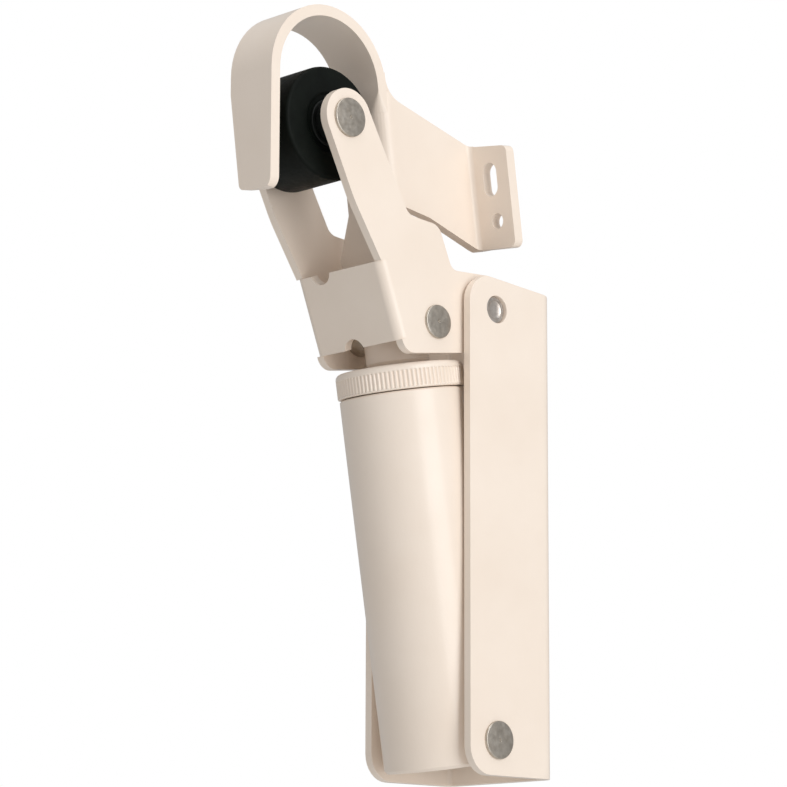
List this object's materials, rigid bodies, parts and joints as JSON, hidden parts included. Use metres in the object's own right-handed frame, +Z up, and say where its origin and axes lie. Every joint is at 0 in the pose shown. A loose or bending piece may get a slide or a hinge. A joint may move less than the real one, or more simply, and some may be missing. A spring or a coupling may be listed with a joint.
{
  "type": "door closer",
  "caption": "Lever door closer: U-shaped housing, leaning damper cylinder, swinging lever with a rubber roller, and a bent catching hook.",
  "frame": {"origin": "centre of the four mounting screws, on the housing's back plane", "axes": "+Y out of the housing's back, into the wall; +Z up the housing towards the lever; +X towards the side that shows the pin heads"},
  "size_m": [0.0447, 0.0947, 0.2037],
  "materials": {
    "cream_paint": "gloss cream powder coat",
    "zinc_steel": "zinc plated, dulled",
    "bright_steel": "ground and polished",
    "dark_steel": "black oxide",
    "bronze": "sintered bronze",
    "black_nylon": "moulded black nylon",
    "black_rubber": "smooth, slightly glossy"
  },
  "bodies": {
    "housing_body": {"housing": "cream_paint", "base_pin": "zinc_steel", "base_pin_washers": "zinc_steel", "main_axle": "zinc_steel", "main_axle_washers": "zinc_steel"},
    "lever_body": {"lever": "cream_paint", "lever_bushes": "bronze", "rod_pin": "zinc_steel", "rod_pin_spacers": "zinc_steel", "roller_pin": "zinc_steel", "roller_spacers": "black_nylon"},
    "roller_body": {"roller_tyre": "black_rubber", "roller_hub": "black_nylon"},
    "rod_body": {"rod_eye": "cream_paint", "piston_rod": "bright_steel", "piston": "zinc_steel", "piston_seal": "black_rubber"},
    "cylinder_body": {"cylinder_tube": "cream_paint", "base_plug": "cream_paint", "gland": "bronze", "rod_seal": "black_rubber", "friction_band": "black_rubber", "closing_spring": "dark_steel"},
    "ring_body": {"adjusting_ring": "cream_paint", "adjuster_screw": "dark_steel"},
    "hook_body": {"hook": "cream_paint"}
  },
  "joints": [
    {"name": "lever_swing", "type": "hinge", "parent": "housing_body", "child": "lever_body", "pos_m": [0, -0.022, 0.0625], "axis": [-1, 0, 0], "range_deg": [0, 50], "stiffness_Nm_per_rad": 1.5, "springref_deg": -8.59},
    {"name": "roller_spin", "type": "hinge", "parent": "lever_body", "child": "roller_body", "pos_m": [0, -0.0737, 0.1072], "axis": [1, 0, 0], "continuous": true},
    {"name": "rod_hinge", "type": "hinge", "parent": "lever_body", "child": "rod_body", "pos_m": [0, -0.0412, 0.0567], "axis": [-1, 0, 0], "range_deg": [-49, 0]},
    {"name": "rod_stroke", "type": "slide", "parent": "rod_body", "child": "cylinder_body", "axis": [0, 0.17, -0.9854], "range_m": [0, 0.017]},
    {"name": "ring_turn", "type": "hinge", "parent": "cylinder_body", "child": "ring_body", "pos_m": [0, -0.03899, 0.04389], "axis": [0, -0.17, 0.9854], "range_deg": [-90, 90]},
    {"name": "hook_travel", "type": "slide", "parent": "housing_body", "child": "hook_body", "axis": [0, 0.906, 0.4234], "range_m": [0, 0.056]}
  ],
  "couplings": [
    {"joint": "rod_hinge", "follows": "lever_swing", "ratio": -0.9636},
    {"joint": "rod_stroke", "follows": "lever_swing", "m_per_rad": 0.019},
    {"joint": "hook_travel", "follows": "lever_swing", "m_per_rad": 0.06388}
  ]
}
